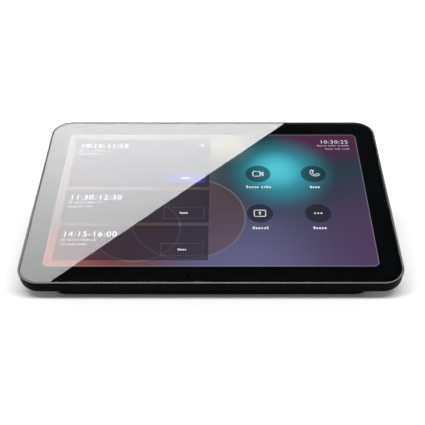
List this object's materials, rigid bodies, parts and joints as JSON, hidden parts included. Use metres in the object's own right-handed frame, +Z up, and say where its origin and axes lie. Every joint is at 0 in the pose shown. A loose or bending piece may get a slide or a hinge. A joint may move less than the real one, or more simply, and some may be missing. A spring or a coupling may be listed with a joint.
{
  "type": "tabletop touch console",
  "caption": "Tabletop meeting-room touch console: a tilted, glass-fronted display head on a hollow wedge base, with a hinged cover over its rear port bay.",
  "frame": {"origin": "on the desk, under the middle of the console's box", "axes": "+X to the right of the person using it, +Y away from them, +Z up"},
  "size_m": [0.2472, 0.1528, 0.0814],
  "materials": {
    "glass": "polished",
    "border_print": "gloss black",
    "trim_silver": "satin",
    "display": "gloss",
    "light_guide": "gloss",
    "steel": "plain",
    "alloy": "as cast",
    "body_black": "fine texture",
    "base_black": "fine texture",
    "foot_rubber": "matt",
    "foam_black": "foam",
    "thermal_grey": "soft",
    "board_green": "solder mask",
    "connector_black": "plain",
    "capacitor_can": "sleeved",
    "flex_amber": "film",
    "button_grey": "plain",
    "sensor_dark": "gloss"
  },
  "bodies": {
    "console": {"cover_glass": "glass", "touch_sensor": "glass", "border_mask": "border_print", "trim_ring": "trim_silver", "lcd_panel": "display", "backlight_stack": "light_guide", "lcd_tray": "steel", "mid_frame": "alloy", "display_gasket": "foam_black", "sensor_lens": "sensor_dark", "presence_sensor": "sensor_dark", "back_housing": "body_black", "housing_screws": "steel", "base_screws": "steel", "base_shell": "base_black", "base_plate": "base_black", "base_plate_screws": "steel", "front_foot": "foot_rubber", "rear_foot": "foot_rubber", "ballast_plate": "steel", "main_board": "board_green", "board_screws": "steel", "flex_connectors": "connector_black", "processor_shield": "steel", "thermal_pad": "thermal_grey", "heat_spreader": "alloy", "power_transformer": "connector_black", "power_capacitors": "capacitor_can", "lcd_flex_cable": "flex_amber", "touch_flex_cable": "flex_amber", "sensor_flex_cable": "flex_amber", "port_bay": "base_black", "ethernet_jack": "steel", "usb_c_socket": "steel", "reset_switch": "connector_black", "lock_slot_plate": "steel", "cover_hinge_rod": "steel"},
    "cover": {"cable_cover": "base_black"},
    "reset": {"reset_button": "button_grey", "switch_plunger": "connector_black"}
  },
  "joints": [
    {"name": "cover_hinge", "type": "hinge", "parent": "console", "child": "cover", "pos_m": [0, 0.03925, 0.029], "axis": [1, 0, 0], "range_deg": [0, 90]},
    {"name": "reset_press", "type": "slide", "parent": "console", "child": "reset", "axis": [0, -1, 0], "range_m": [0, 0.0005], "stiffness_N_per_m": 1200, "springref_m": -0.0005}
  ]
}
